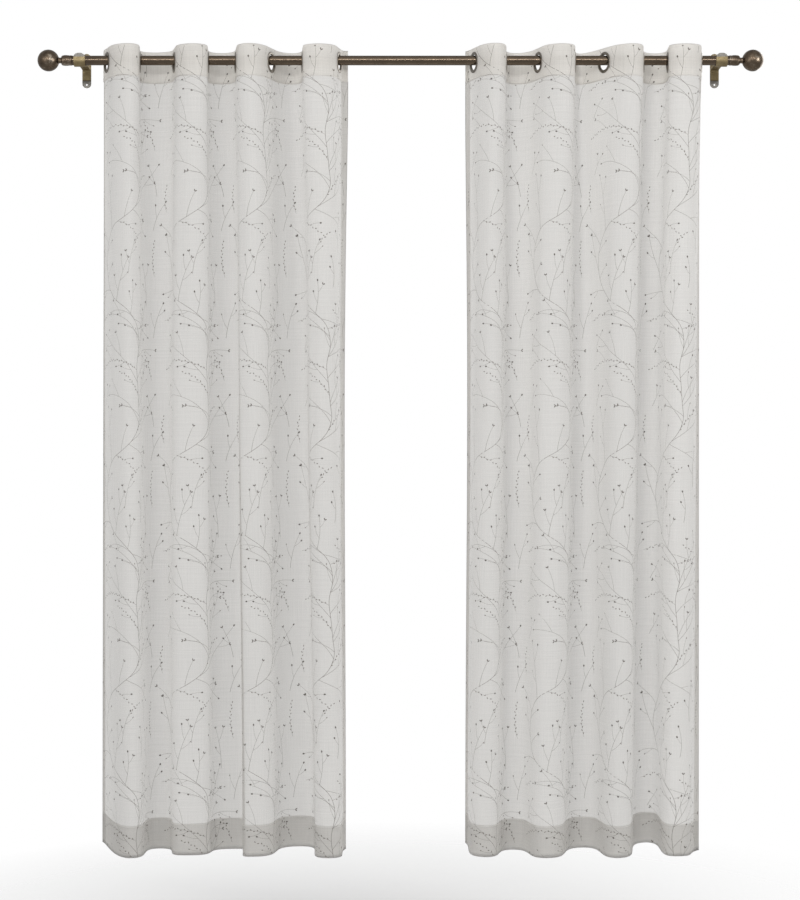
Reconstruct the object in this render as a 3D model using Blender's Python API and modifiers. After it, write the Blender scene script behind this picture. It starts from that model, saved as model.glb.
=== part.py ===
"""A pair of sheer voile curtain panels with eyelet headings, on their rod.

Units are metres, +Z up.  The origin lies on the wall, midway between the two brackets, at
the height of the rod's axis.  +X runs to the viewer's right along the rod, +Y into the wall.
"""

import math

import bmesh
import bpy
import numpy as np
from mathutils import Matrix, Vector

# ---------------------------------------------------------------- driving dimensions

ROD_RADIUS = 0.0127
ROD_WALL = 0.0010
ROD_LENGTH = 1.743
ROD_Y = -0.120
ROUND_STEPS = 24

GAP = 0.0003

# One panel's cloth: cut width between its side edges, and its fall
CLOTH_WIDTH = 1.372
CLOTH_FALL = 2.134
CLOTH_THICK = 0.0015
EYELETS = 8
END_ALLOWANCE = 0.052
EYELET_PITCH = (CLOTH_WIDTH - 2.0 * END_ALLOWANCE) / (EYELETS - 1)

# The heading: the doubled strip along the top that holds the eyelets
HEADING_TOP = 0.033
HEADING_DEPTH = 0.084
HEADING_THICK = 0.0020
# The cloth stays flat this far to each side of an eyelet's centre
FLAT_HALF = 0.029

RING_INNER = 0.020
RING_OUTER = 0.028
RING_NECK = 0.0215
RING_FLANGE = 0.0018
RING_DROP = 0.0052
RING_STEPS = 12
HOLE_RADIUS = 0.022

FINIAL_STEPS = 18
BALL_RINGS = 11
BALL_RADIUS = 0.0286
FINIAL_NECK = 0.0085
NECK_LENGTH = 0.0077
SPIGOT_RADIUS = 0.0112
SPIGOT_LENGTH = 0.025
COLLAR_LENGTH = 0.0285
# The collar's turned outline between the neck and the rod.
# columns: radius (m), distance from the neck (m)
COLLAR = (
    (0.0122, 0.0012),
    (0.0138, 0.0060),
    (0.0141, 0.0115),
    (0.0136, 0.0190),
)

BRACKET_X = 0.851
STRAP_THICK = 0.0030
CRADLE_HALF_WIDTH = 0.0150
ARM_HALF_WIDTH = 0.0110
PLATE_HALF_WIDTH = 0.0120
PLATE_TOP = 0.040
PLATE_BOTTOM = -0.053
PLATE_THICK = 0.0025
SCREW_HOLE_RADIUS = 0.0025
SCREW_INSET = 0.009

# ---------------------------------------------------------------- the cloth's own tables

# Where each eyelet sits along the rod, and how far the cloth leans there from square to the
# rod.  A positive lean carries the back of the ring to the left.
# columns: along the rod (m), lean (degrees)
EYELETS_LEFT = (
    (-0.779, 23.0),
    (-0.693, 6.0),
    (-0.6005, 14.0),
    (-0.512, 3.5),
    (-0.437, 8.0),
    (-0.344, -19.0),
    (-0.260, 4.5),
    (-0.1635, -12.0),
)
EYELETS_RIGHT = (
    (0.195, 20.5),
    (0.280, -3.0),
    (0.3655, 20.5),
    (0.463, -5.0),
    (0.541, 30.0),
    (0.644, -6.5),
    (0.710, -2.0),
    (0.7975, -7.0),
)
# How far the two side edges curl on past the last flat stretch (degrees)
CURL_LEFT = (-36.0, -90.0)
CURL_RIGHT = (20.0, 14.0)

# The turns of the cloth along the hem, from the left edge to the right edge.  The first and
# last rows are the side edges, and between them front and back folds take turns.
# columns: along the rod (m), behind the rod (m), cloth since the last turn (m), hem lift (m)
HEM_LEFT = (
    (-0.803, 0.080, 0.000, 0.012),
    (-0.709, -0.072, 0.185, 0.000),
    (-0.643, 0.036, 0.165, 0.001),
    (-0.571, -0.044, 0.155, 0.001),
    (-0.434, 0.036, 0.180, 0.000),
    (-0.3955, -0.060, 0.160, 0.001),
    (-0.265, 0.061, 0.200, 0.001),
    (-0.190, -0.072, 0.185, 0.000),
    (-0.146, 0.024, 0.142, 0.003),
)
HEM_RIGHT = (
    (0.174, 0.080, 0.000, 0.009),
    (0.221, -0.068, 0.175, 0.000),
    (0.300, 0.030, 0.160, 0.000),
    (0.379, -0.080, 0.165, 0.000),
    (0.492, 0.058, 0.190, 0.000),
    (0.569, -0.080, 0.180, 0.000),
    (0.663, 0.088, 0.210, 0.008),
    (0.7175, -0.062, 0.175, 0.001),
    (0.794, 0.016, 0.117, 0.002),
)
# How the folds change from the heading down to the hem.
# columns: share of the fall, share of the hem's shape, outward draw of the inner edge (m)
LEVELS = (
    (0.00, 0.00, 0.000),
    (0.045, 0.10, 0.000),
    (0.11, 0.26, 0.001),
    (0.20, 0.42, 0.003),
    (0.33, 0.57, 0.005),
    (0.50, 0.70, 0.005),
    (0.67, 0.82, 0.003),
    (0.84, 0.93, 0.001),
    (1.00, 1.00, 0.000),
)

BEND_FACETS = 8
FLAT_FACETS = 2
EDGE_FACETS = 2
FINE_STEPS = 48


# ---------------------------------------------------------------- scene helpers

def clear_scene():
    for old in list(bpy.data.objects):
        bpy.data.objects.remove(old, do_unlink=True)


def new_collection(name):
    collection = bpy.data.collections.new(name)
    bpy.context.scene.collection.children.link(collection)
    return collection


def finish_material(name, colour, roughness, metallic):
    material = bpy.data.materials.new(name)
    material.use_nodes = True
    shader = material.node_tree.nodes["Principled BSDF"]
    shader.inputs["Base Color"].default_value = (*colour, 1.0)
    shader.inputs["Roughness"].default_value = roughness
    shader.inputs["Metallic"].default_value = metallic
    return material


def add_object(name, mesh, collection, material):
    piece = bpy.data.objects.new(name, mesh)
    collection.objects.link(piece)
    if material is not None:
        mesh.materials.append(material)
    return piece


def mesh_from(name, build):
    """A mesh filled by the function build, which is handed an empty bmesh."""
    mesh = bpy.data.meshes.new(name)
    shape = bmesh.new()
    build(shape)
    shape.to_mesh(mesh)
    shape.free()
    return mesh


def profile_mesh(name, points, closed):
    """Edges through (radius, height) points at +X, ready to be turned about Z."""
    def build(shape):
        corners = [shape.verts.new((radius, 0.0, height)) for radius, height in points]
        for first, second in zip(corners, corners[1:]):
            shape.edges.new((first, second))
        if closed:
            shape.edges.new((corners[-1], corners[0]))
    return mesh_from(name, build)


def turn(piece, steps):
    """Turns a profile once round its own Z axis."""
    screw = piece.modifiers.new("turned", "SCREW")
    screw.axis = "Z"
    screw.angle = 2.0 * math.pi
    screw.steps = steps
    screw.render_steps = steps
    screw.use_merge_vertices = True
    screw.merge_threshold = 0.00001
    screw.use_smooth_shade = True


def thicken(piece, thickness):
    """Gives a sheet its thickness, half to each side."""
    solid = piece.modifiers.new("thickness", "SOLIDIFY")
    solid.thickness = thickness
    solid.offset = 0.0
    solid.use_even_offset = True


# ---------------------------------------------------------------- cloth sections

def lean_direction(lean):
    """The way from front to back along cloth that leans by the given degrees."""
    angle = math.radians(lean)
    return np.array((-math.sin(angle), math.cos(angle)))


def bezier(start, first, second, end, count):
    share = np.linspace(0.0, 1.0, count + 1)[:, None]
    rest = 1.0 - share
    return (rest ** 3 * start + 3.0 * rest ** 2 * share * first
            + 3.0 * rest * share ** 2 * second + share ** 3 * end)


def run_length(points):
    return float(np.sum(np.hypot(*np.diff(points, axis=0).T)))


def bend(start, leaving, end, arriving, length):
    """A smooth curve between two points and directions, with just the given length."""
    low, high = 0.0, 2.0 * length
    for _ in range(40):
        handle = 0.5 * (low + high)
        points = bezier(start, start + handle * leaving, end - handle * arriving, end, FINE_STEPS)
        if run_length(points) < length:
            low = handle
        else:
            high = handle
    return points


def edge_curl(point, direction, curl, length):
    """A free side edge that turns by curl degrees over its length."""
    points = [point]
    heading = math.atan2(direction[1], direction[0])
    for step in range(FINE_STEPS):
        angle = heading + math.radians(curl) * (step + 0.5) / FINE_STEPS
        stride = np.array((math.cos(angle), math.sin(angle))) * length / FINE_STEPS
        points.append(points[-1] + stride)
    return np.array(points)


def join_runs(runs):
    return np.vstack([runs[0]] + [run[1:] for run in runs[1:]])


def heading_section(eyelets, curls):
    """The cloth's line seen from above at the eyelets, from its left to its right edge."""
    centres = [np.array((along, ROD_Y)) for along, lean in eyelets]
    # the cloth comes forward through odd eyelets and goes back through even ones
    travel = []
    for number, (along, lean) in enumerate(eyelets):
        forward = -1.0 if number % 2 == 0 else 1.0
        travel.append(forward * lean_direction(lean))
    bend_length = EYELET_PITCH - 2.0 * FLAT_HALF
    edge_length = END_ALLOWANCE - FLAT_HALF
    first_edge = centres[0] - FLAT_HALF * travel[0]
    runs = [edge_curl(first_edge, -travel[0], curls[0], edge_length)[::-1]]
    for number in range(EYELETS):
        leaves = centres[number] + FLAT_HALF * travel[number]
        arrives = centres[number] - FLAT_HALF * travel[number]
        runs.append(np.array((arrives, leaves)))
        if number + 1 < EYELETS:
            following = centres[number + 1] - FLAT_HALF * travel[number + 1]
            runs.append(bend(leaves, travel[number], following, travel[number + 1], bend_length))
        else:
            runs.append(edge_curl(leaves, travel[number], curls[1], edge_length))
    return join_runs(runs)


def hem_section(turns):
    """The cloth's line seen from above at the hem, through the turns of its folds."""
    along = np.array((1.0, 0.0))
    runs = []
    for first, second in zip(turns, turns[1:]):
        start = np.array((first[0], ROD_Y + first[1]))
        end = np.array((second[0], ROD_Y + second[1]))
        leaving, arriving = along, along
        if first is turns[0]:
            leaving = (end - start) / np.linalg.norm(end - start)
        if second is turns[-1]:
            arriving = (end - start) / np.linalg.norm(end - start)
        runs.append(bend(start, leaving, end, arriving, second[2]))
    return join_runs(runs)


def cloth_columns():
    """Distances across the cloth at which its facets meet."""
    columns = [0.0]

    def add(length, facets):
        start = columns[-1]
        columns.extend(start + length * (step + 1) / facets for step in range(facets))

    add(END_ALLOWANCE - FLAT_HALF, EDGE_FACETS)
    for number in range(EYELETS):
        add(2.0 * FLAT_HALF, FLAT_FACETS)
        if number + 1 < EYELETS:
            add(EYELET_PITCH - 2.0 * FLAT_HALF, BEND_FACETS)
    add(END_ALLOWANCE - FLAT_HALF, EDGE_FACETS)
    return np.array(columns)


def at_columns(section, columns):
    """Points of a section at the given distances across the cloth."""
    steps = np.hypot(*np.diff(section, axis=0).T)
    travelled = np.concatenate(((0.0,), np.cumsum(steps)))
    travelled *= columns[-1] / travelled[-1]
    return np.column_stack([np.interp(columns, travelled, section[:, axis]) for axis in (0, 1)])


def sheet_mesh(name, rows):
    """A grid of one vertex for each point of each row, the rows running across the cloth."""
    across = len(rows[0])
    down = len(rows)

    def build(shape):
        bmesh.ops.create_grid(shape, x_segments=across - 1, y_segments=down - 1, size=1.0)
        shape.verts.ensure_lookup_table()
        for vertex in shape.verts:
            column = round((vertex.co.x + 1.0) * 0.5 * (across - 1))
            row = round((1.0 - vertex.co.y) * 0.5 * (down - 1))
            vertex.co = Vector(rows[row][column])
    return mesh_from(name, build)


# ---------------------------------------------------------------- pieces of one panel

def make_heading(side, section, eyelets, parts, cutters, material):
    top = [(x, y, HEADING_TOP) for x, y in section]
    bottom = [(x, y, HEADING_TOP - HEADING_DEPTH) for x, y in section]
    piece = add_object(f"heading_{side}", sheet_mesh(f"heading_{side}", [top, bottom]),
                       parts, material)
    thicken(piece, HEADING_THICK)
    for number, (along, lean) in enumerate(eyelets, start=1):
        cutter = make_hole_cutter(f"hole_{side}_{number}", HOLE_RADIUS, RING_STEPS)
        cutters.objects.link(cutter)
        place_on_rod(cutter, along, lean)
        cut_with(piece, cutter)
    return piece


def make_hole_cutter(name, radius, steps):
    def build(shape):
        bmesh.ops.create_cone(shape, cap_ends=True, segments=steps, radius1=radius,
                              radius2=radius, depth=0.020)
    cutter = bpy.data.objects.new(name, mesh_from(name, build))
    cutter.hide_render = True
    cutter.display_type = "WIRE"
    return cutter


def cut_with(piece, cutter):
    hole = piece.modifiers.new(cutter.name, "BOOLEAN")
    hole.operation = "DIFFERENCE"
    hole.object = cutter


def place_on_rod(piece, along, lean):
    """Stands a turned piece on the rod, its axis square to cloth with the given lean."""
    half_facet = Matrix.Rotation(math.pi / RING_STEPS, 3, "Z")
    on_side = Matrix.Rotation(math.pi / 2.0, 3, "Y")
    leaning = Matrix.Rotation(math.radians(lean), 3, "Z")
    piece.rotation_euler = (leaning @ on_side @ half_facet).to_euler()
    piece.location = (along, ROD_Y, -RING_DROP)


def ring_profile():
    """The eyelet's section: two flanges on a neck, with the heading held between them."""
    inside = 0.5 * HEADING_THICK + GAP
    outside = inside + RING_FLANGE
    return [(RING_OUTER, outside), (RING_OUTER, inside), (RING_NECK, inside),
            (RING_NECK, -inside), (RING_OUTER, -inside), (RING_OUTER, -outside),
            (RING_INNER, -outside), (RING_INNER, outside)]


def make_rings(side, eyelets, mesh, parts):
    for number, (along, lean) in enumerate(eyelets, start=1):
        ring = add_object(f"ring_{side}_{number}", mesh, parts, None)
        turn(ring, RING_STEPS)
        place_on_rod(ring, along, lean)


def make_panel(side, top_section, turns, columns, outward, parts, material):
    hem = at_columns(hem_section(turns), columns)
    lift_at = np.cumsum([row[2] for row in turns])
    lift = np.interp(columns, lift_at, [row[3] for row in turns])
    # the share of the way from the outer side edge to the inner one
    inward = columns / columns[-1]
    if outward > 0:
        inward = 1.0 - inward
    top = HEADING_TOP - HEADING_DEPTH - GAP
    fall = CLOTH_FALL - HEADING_DEPTH - GAP
    rows = []
    for down, shape_share, draw in LEVELS:
        line = (1.0 - shape_share) * top_section + shape_share * hem
        x = line[:, 0] + outward * draw * inward
        z = top - fall * down + lift * down ** 2
        rows.append(list(zip(x, line[:, 1], z)))
    piece = add_object(f"panel_{side}", sheet_mesh(f"panel_{side}", rows), parts, material)
    thicken(piece, CLOTH_THICK)


# ---------------------------------------------------------------- rod, finials, brackets

def make_rod(parts, material):
    half = 0.5 * ROD_LENGTH
    inner = ROD_RADIUS - ROD_WALL
    profile = [(ROD_RADIUS, half), (ROD_RADIUS, -half), (inner, -half), (inner, half)]
    rod = add_object("rod", profile_mesh("rod", profile, True), parts, material)
    turn(rod, ROUND_STEPS)
    rod.rotation_euler = (0.0, math.pi / 2.0, 0.0)
    rod.location = (0.0, ROD_Y, 0.0)


def finial_profile():
    """From the tip of the ball down to the end of the spigot, heights from the rod's end."""
    reach = math.sqrt(BALL_RADIUS ** 2 - FINIAL_NECK ** 2)
    ball_centre = COLLAR_LENGTH + NECK_LENGTH + reach
    sweep = math.pi / 2.0 + math.asin(reach / BALL_RADIUS)
    points = [(0.0, ball_centre + BALL_RADIUS)]
    for step in range(1, BALL_RINGS + 1):
        angle = math.pi / 2.0 - sweep * step / BALL_RINGS
        points.append((BALL_RADIUS * math.cos(angle), ball_centre + BALL_RADIUS * math.sin(angle)))
    points.append((FINIAL_NECK, COLLAR_LENGTH))
    points += [(radius, COLLAR_LENGTH - below) for radius, below in COLLAR]
    points += [(ROD_RADIUS, GAP), (SPIGOT_RADIUS, GAP)]
    points += [(SPIGOT_RADIUS, -SPIGOT_LENGTH), (0.0, -SPIGOT_LENGTH)]
    return points


def make_finials(parts, material):
    mesh = profile_mesh("finial", finial_profile(), False)
    mesh.materials.append(material)
    for side, sign in (("left", -1.0), ("right", 1.0)):
        finial = add_object(f"finial_{side}", mesh, parts, None)
        turn(finial, FINIAL_STEPS)
        finial.rotation_euler = (0.0, sign * math.pi / 2.0, 0.0)
        finial.location = (sign * 0.5 * ROD_LENGTH, ROD_Y, 0.0)


def strap_line():
    """The strap's middle line from the cradle's front tip to its foot on the wall plate.

    Each row is (behind the rod's axis, above the rod's axis, half the strap's width)."""
    radius = ROD_RADIUS + 3.0 * GAP + 0.5 * STRAP_THICK
    rows = [(-radius, 0.0175, 0.0070), (-radius, 0.0145, 0.0125), (-radius, 0.0095, 0.0150)]
    arc_steps = 10
    for step in range(arc_steps + 1):
        angle = math.pi + math.radians(165.0) * step / arc_steps
        rows.append((radius * math.cos(angle), radius * math.sin(angle), CRADLE_HALF_WIDTH))
    foot = -ROD_Y - PLATE_THICK - GAP - 0.5 * STRAP_THICK
    rows += [
        (0.0185, -0.0022, 0.0135),
        (0.0250, -0.0015, 0.0115),
        (0.0600, -0.0022, ARM_HALF_WIDTH),
        (foot - 0.0080, -0.0030, ARM_HALF_WIDTH),
        (foot - 0.0022, -0.0055, ARM_HALF_WIDTH),
        (foot, -0.0115, ARM_HALF_WIDTH),
        (foot, -0.0320, ARM_HALF_WIDTH),
    ]
    return rows


def make_bracket_arm(side, sign, parts, material):
    rows = []
    across = (-1.0, -0.5, 0.0, 0.5, 1.0)
    for behind, above, half_width in strap_line():
        rows.append([(sign * BRACKET_X + share * half_width, ROD_Y + behind, above)
                     for share in across])
    name = f"bracket_arm_{side}"
    arm = add_object(name, sheet_mesh(name, rows), parts, material)
    thicken(arm, STRAP_THICK)


def make_bracket_plate(side, sign, parts, cutters, material):
    """A flat plate with round ends, its back face on the wall."""
    outline = bpy.data.curves.new(f"plate_outline_{side}", "CURVE")
    outline.dimensions = "2D"
    outline.fill_mode = "BOTH"
    outline.extrude = 0.5 * PLATE_THICK
    end_steps = 8
    centres = (PLATE_TOP - PLATE_HALF_WIDTH, PLATE_BOTTOM + PLATE_HALF_WIDTH)
    corners = []
    for centre, start in zip(centres, (0.0, math.pi)):
        for step in range(end_steps + 1):
            angle = start + math.pi * step / end_steps
            corners.append((PLATE_HALF_WIDTH * math.cos(angle),
                            centre + PLATE_HALF_WIDTH * math.sin(angle)))
    spline = outline.splines.new("POLY")
    spline.points.add(len(corners) - 1)
    for point, (x, z) in zip(spline.points, corners):
        point.co = (x, z, 0.0, 1.0)
    spline.use_cyclic_u = True
    guide = bpy.data.objects.new(f"plate_guide_{side}", outline)
    cutters.objects.link(guide)
    bpy.context.view_layer.update()
    evaluated = guide.evaluated_get(bpy.context.evaluated_depsgraph_get())
    mesh = bpy.data.meshes.new_from_object(evaluated)
    bpy.data.objects.remove(guide, do_unlink=True)
    shape = bmesh.new()
    shape.from_mesh(mesh)
    bmesh.ops.remove_doubles(shape, verts=shape.verts, dist=0.00001)
    shape.to_mesh(mesh)
    shape.free()
    plate = add_object(f"bracket_plate_{side}", mesh, parts, material)
    plate.rotation_euler = (math.pi / 2.0, 0.0, 0.0)
    plate.location = (sign * BRACKET_X, -0.5 * PLATE_THICK, 0.0)
    for place, height in (("top", PLATE_TOP - SCREW_INSET), ("bottom", PLATE_BOTTOM + SCREW_INSET)):
        cutter = make_hole_cutter(f"screw_hole_{side}_{place}", SCREW_HOLE_RADIUS, RING_STEPS)
        cutters.objects.link(cutter)
        cutter.rotation_euler = (math.pi / 2.0, 0.0, 0.0)
        cutter.location = (sign * BRACKET_X, -0.5 * PLATE_THICK, height)
        cut_with(plate, cutter)


# ---------------------------------------------------------------- the whole object

def main():
    clear_scene()
    parts = new_collection("sheer_curtain_on_rod")
    cutters = new_collection("cutters")
    voile = finish_material("voile", (0.62, 0.61, 0.58), 0.85, 0.0)
    doubled_voile = finish_material("doubled_voile", (0.68, 0.67, 0.64), 0.85, 0.0)
    aged_brass = finish_material("aged_brass", (0.16, 0.11, 0.07), 0.35, 1.0)
    bracket_brass = finish_material("bracket_brass", (0.30, 0.24, 0.12), 0.40, 1.0)
    aged_nickel = finish_material("aged_nickel", (0.33, 0.31, 0.28), 0.35, 1.0)

    make_rod(parts, aged_brass)
    make_finials(parts, aged_brass)
    for side, sign in (("left", -1.0), ("right", 1.0)):
        make_bracket_arm(side, sign, parts, bracket_brass)
        make_bracket_plate(side, sign, parts, cutters, bracket_brass)

    ring_mesh = profile_mesh("ring", ring_profile(), True)
    ring_mesh.materials.append(aged_nickel)
    columns = cloth_columns()
    panels = (("left", EYELETS_LEFT, CURL_LEFT, HEM_LEFT, -1.0),
              ("right", EYELETS_RIGHT, CURL_RIGHT, HEM_RIGHT, 1.0))
    for side, eyelets, curls, turns, outward in panels:
        section = at_columns(heading_section(eyelets, curls), columns)
        make_heading(side, section, eyelets, parts, cutters, doubled_voile)
        make_rings(side, eyelets, ring_mesh, parts)
        make_panel(side, section, turns, columns, outward, parts, voile)


main()
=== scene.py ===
"""The looks of a pair of sheer printed voile curtains with eyelet headings, on their rod.

Laid out as a Blender add-on and run as a script.  Units are metres, +Z up.  The origin lies on
the wall, midway between the two brackets, at the height of the rod's axis.  +X runs to the
viewer's right along the rod, +Y into the wall.

Cloth is worked flat first, as (across, down, raised), where across is measured from the left
side edge, down from the heading's top edge, and raised is the height above the cloth's face.
It is then hung, which carries every point to its place in the folds.
"""

import math

import bmesh
import bpy
import numpy as np
from bpy.props import FloatProperty, FloatVectorProperty, IntProperty, PointerProperty
from mathutils import Matrix, Vector


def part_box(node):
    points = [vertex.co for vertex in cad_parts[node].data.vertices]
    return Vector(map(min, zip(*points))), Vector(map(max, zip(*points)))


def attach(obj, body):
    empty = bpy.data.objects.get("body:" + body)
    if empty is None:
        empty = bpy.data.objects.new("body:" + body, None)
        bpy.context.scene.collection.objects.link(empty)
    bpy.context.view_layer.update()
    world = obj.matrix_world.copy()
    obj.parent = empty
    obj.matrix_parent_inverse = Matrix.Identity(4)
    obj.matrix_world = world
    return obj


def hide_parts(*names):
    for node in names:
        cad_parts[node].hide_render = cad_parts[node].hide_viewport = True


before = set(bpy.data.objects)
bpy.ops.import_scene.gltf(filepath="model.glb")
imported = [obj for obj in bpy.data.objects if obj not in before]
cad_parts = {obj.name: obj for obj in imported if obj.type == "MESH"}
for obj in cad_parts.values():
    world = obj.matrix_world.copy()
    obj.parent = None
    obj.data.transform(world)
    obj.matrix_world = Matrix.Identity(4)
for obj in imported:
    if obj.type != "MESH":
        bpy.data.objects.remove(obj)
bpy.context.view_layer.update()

bl_info = {
    "name": "Sheer Eyelet Curtains",
    "version": (1, 0, 0),
    "blender": (4, 5, 0),
    "location": "3D View > Sidebar > Curtains",
    "description": "Hangs a pair of printed voile curtains on a rod with ball finials",
    "category": "Add Mesh",
}

# ---------------------------------------------------------------- places taken from the frame

ROD_LOW, ROD_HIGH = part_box("rod")
HEADING_LOW, HEADING_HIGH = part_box("heading_left")
PLATE_LOW, PLATE_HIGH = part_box("bracket_plate_right")
FINIAL_LOW, FINIAL_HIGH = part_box("finial_right")

ROD_RADIUS = 0.5 * (ROD_HIGH.z - ROD_LOW.z)
ROD_Y = 0.5 * (ROD_LOW.y + ROD_HIGH.y)
ROD_LENGTH = ROD_HIGH.x - ROD_LOW.x
HEADING_TOP = HEADING_HIGH.z
HEADING_DEPTH = HEADING_HIGH.z - HEADING_LOW.z
CLOTH_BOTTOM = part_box("panel_left")[0].z
BRACKET_X = 0.5 * (PLATE_LOW.x + PLATE_HIGH.x)
PLATE_HALF_WIDTH = 0.5 * (PLATE_HIGH.x - PLATE_LOW.x)
PLATE_THICK = PLATE_HIGH.y - PLATE_LOW.y
BALL_RADIUS = 0.5 * (FINIAL_HIGH.z - FINIAL_LOW.z)

# ---------------------------------------------------------------- sizes of the cloth

GAP = 0.0003
CLOTH_WIDTH = 1.372
CLOTH_FALL = HEADING_TOP - CLOTH_BOTTOM
EYELETS = 8
END_ALLOWANCE = 0.052
EYELET_PITCH = (CLOTH_WIDTH - 2.0 * END_ALLOWANCE) / (EYELETS - 1)
# The cloth stays flat this far to each side of an eyelet's centre
FLAT_HALF = 0.029
EYELET_DROP = 0.0052
HEADING_THICK = 0.0020
FINE_STEPS = 48
# The heading's ends turn in by this much, and its fold over the top rounds off within this
HEADING_TURNING = 0.020
HEADING_FOLD = 0.004
HEADING_COLUMNS, HEADING_ROWS = 440, 56
# The hole cut for an eyelet, and the faces first taken out round its centre
HOLE_RADIUS, HOLE_CLEAR = 0.0228, 0.0245
# The panel reaches up behind the heading by the tuck, and its hems lie behind it by the gap
PANEL_TUCK = 0.002
LAYER_GAP = 0.0008
SIDE_HEM_COLUMNS, HEM_ROWS = 5, 14
# The print stays off the cloth's edges and off the eyelets, and lies over the cloth's face
PRINT_MARGIN = 0.0015
PRINT_OFF_EYELET = 0.0285
PRINT_LIFT = 0.0003
# The seam's distance from the edge it holds, a thread's thickness, a stitch's share of its pitch
SEAM_INSET = 0.0025
THREAD_THICK = 0.0006
STITCH_COVER = 0.74

# Where each eyelet sits along the rod, and how far the cloth leans there from square to the
# rod.  A positive lean carries the back of the ring to the left.
# columns: along the rod (m), lean (degrees)
EYELETS_LEFT = (
    (-0.779, 23.0),
    (-0.693, 6.0),
    (-0.6005, 14.0),
    (-0.512, 3.5),
    (-0.437, 8.0),
    (-0.344, -19.0),
    (-0.260, 4.5),
    (-0.1635, -12.0),
)
EYELETS_RIGHT = (
    (0.195, 20.5),
    (0.280, -3.0),
    (0.3655, 20.5),
    (0.463, -5.0),
    (0.541, 30.0),
    (0.644, -6.5),
    (0.710, -2.0),
    (0.7975, -7.0),
)
# How far the two side edges curl on past the last flat stretch (degrees)
CURL_LEFT = (-36.0, -90.0)
CURL_RIGHT = (20.0, 14.0)

# The turns of the cloth along the hem, from the left edge to the right edge.  The first and
# last rows are the side edges, and between them front and back folds take turns.
# columns: along the rod (m), behind the rod (m), cloth since the last turn (m), hem lift (m)
HEM_LEFT = (
    (-0.803, 0.0800, 0.0000, 0.012),
    (-0.709, -0.0850, 0.1965, 0.000),
    (-0.643, 0.0425, 0.1627, 0.001),
    (-0.571, -0.0519, 0.1346, 0.001),
    (-0.434, 0.0425, 0.1886, 0.000),
    (-0.3955, -0.0708, 0.1356, 0.001),
    (-0.265, 0.0720, 0.2192, 0.001),
    (-0.190, -0.0850, 0.1971, 0.000),
    (-0.146, 0.0283, 0.1377, 0.003),
)
HEM_RIGHT = (
    (0.174, 0.0832, 0.0000, 0.009),
    (0.221, -0.0707, 0.1767, 0.000),
    (0.300, 0.0312, 0.1416, 0.000),
    (0.379, -0.0832, 0.1526, 0.000),
    (0.492, 0.0603, 0.2006, 0.000),
    (0.569, -0.0832, 0.1788, 0.000),
    (0.663, 0.0915, 0.2179, 0.008),
    (0.7175, -0.0645, 0.1814, 0.001),
    (0.794, 0.0166, 0.1224, 0.002),
)
# How the folds change from the heading down to the hem.
# columns: share of the fall, share of the hem's shape, outward draw of the inner edge (m)
LEVELS = (
    (0.00, 0.00, 0.000),
    (0.045, 0.10, 0.000),
    (0.11, 0.26, 0.001),
    (0.20, 0.42, 0.003),
    (0.33, 0.57, 0.005),
    (0.50, 0.70, 0.005),
    (0.67, 0.82, 0.003),
    (0.84, 0.93, 0.001),
    (1.00, 1.00, 0.000),
)
# Soft creases that run down the cloth between the folds.
# columns: across (m), shift across by the hem (m), top (m down), bottom (m down),
#          half width (m), height (m)
CREASES_LEFT = (
    (0.118, 0.010, 0.10, 1.30, 0.016, 0.0022),
    (0.205, -0.012, 0.30, 1.90, 0.020, -0.0026),
    (0.292, 0.014, 0.12, 0.95, 0.014, 0.0020),
    (0.398, -0.016, 0.55, 2.00, 0.022, 0.0030),
    (0.480, 0.012, 0.10, 1.10, 0.015, -0.0022),
    (0.566, -0.010, 0.35, 1.75, 0.018, 0.0026),
    (0.662, 0.015, 0.14, 1.45, 0.020, -0.0024),
    (0.748, 0.008, 0.60, 2.05, 0.018, 0.0026),
    (0.842, -0.014, 0.11, 1.20, 0.016, 0.0022),
    (0.935, 0.012, 0.40, 1.95, 0.022, -0.0030),
    (1.030, -0.010, 0.12, 0.90, 0.014, 0.0020),
    (1.118, 0.010, 0.50, 1.85, 0.020, 0.0028),
    (1.215, -0.012, 0.13, 1.40, 0.017, -0.0022),
    (1.296, 0.010, 0.45, 1.90, 0.018, 0.0024),
)
CREASES_RIGHT = (
    (0.092, -0.010, 0.11, 1.25, 0.017, -0.0022),
    (0.176, 0.012, 0.42, 1.95, 0.020, 0.0028),
    (0.268, -0.012, 0.12, 1.05, 0.015, 0.0020),
    (0.366, 0.014, 0.30, 1.80, 0.021, -0.0028),
    (0.452, -0.010, 0.13, 1.35, 0.016, 0.0024),
    (0.548, 0.010, 0.60, 2.05, 0.020, 0.0026),
    (0.640, -0.015, 0.12, 1.00, 0.015, -0.0020),
    (0.735, 0.012, 0.38, 1.90, 0.021, 0.0030),
    (0.826, -0.008, 0.11, 1.30, 0.017, 0.0022),
    (0.922, 0.014, 0.52, 2.00, 0.019, -0.0026),
    (1.012, -0.012, 0.12, 1.15, 0.015, 0.0022),
    (1.104, 0.010, 0.36, 1.85, 0.021, 0.0028),
    (1.198, -0.010, 0.14, 1.45, 0.017, -0.0022),
    (1.290, 0.012, 0.48, 1.95, 0.018, 0.0024),
)

# ---------------------------------------------------------------- the twig print

# Its trunk climbs, swings out to the left in a long bow and comes back over its foot.
# columns: across the repeat (share of its width), up the repeat (share of its height)
TRUNK = (
    (0.640, 0.000),
    (0.625, 0.090),
    (0.655, 0.180),
    (0.620, 0.262),
    (0.500, 0.325),
    (0.340, 0.380),
    (0.215, 0.445),
    (0.165, 0.525),
    (0.195, 0.605),
    (0.310, 0.680),
    (0.470, 0.730),
    (0.600, 0.785),
    (0.660, 0.855),
    (0.650, 0.930),
    (0.640, 1.000),
)
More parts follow.
